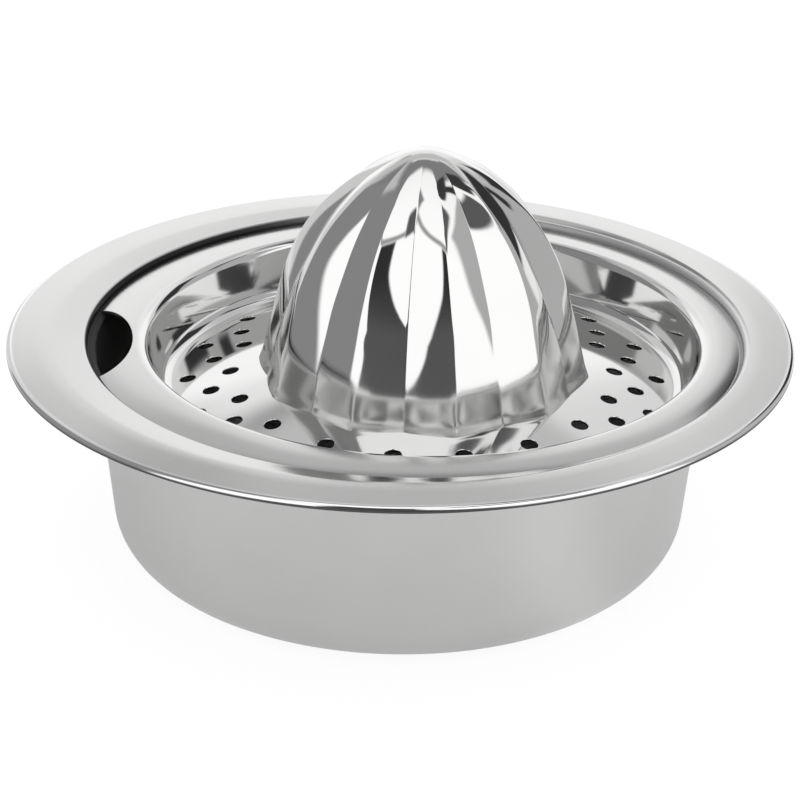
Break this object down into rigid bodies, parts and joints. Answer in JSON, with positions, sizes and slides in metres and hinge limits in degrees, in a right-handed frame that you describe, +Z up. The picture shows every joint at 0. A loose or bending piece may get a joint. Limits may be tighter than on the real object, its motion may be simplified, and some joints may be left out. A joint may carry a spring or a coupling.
{
  "type": "citrus press",
  "caption": "Hand citrus press: a broad-brimmed steel bowl with a lift-off strainer that carries a fluted reamer, drain holes and a pour notch.",
  "frame": {"origin": "middle of the bowl's flat base, on the surface it stands on", "axes": "+Z up along the bowl's axis, -X towards the pouring side with the notch, +Y away from the picture's viewer"},
  "size_m": [0.15, 0.15, 0.0793],
  "materials": {
    "satin_steel": "satin stainless steel",
    "polished_steel": "polished stainless steel",
    "mirror_steel": "mirror-polished stainless steel"
  },
  "bodies": {
    "bowl": {"juice_bowl": "satin_steel"},
    "insert": {"strainer": "polished_steel", "reamer": "mirror_steel"}
  },
  "joints": [
    {"name": "insert_lift", "type": "slide", "parent": "bowl", "child": "insert", "axis": [0, 0, 1], "range_m": [0, 0.06]}
  ]
}
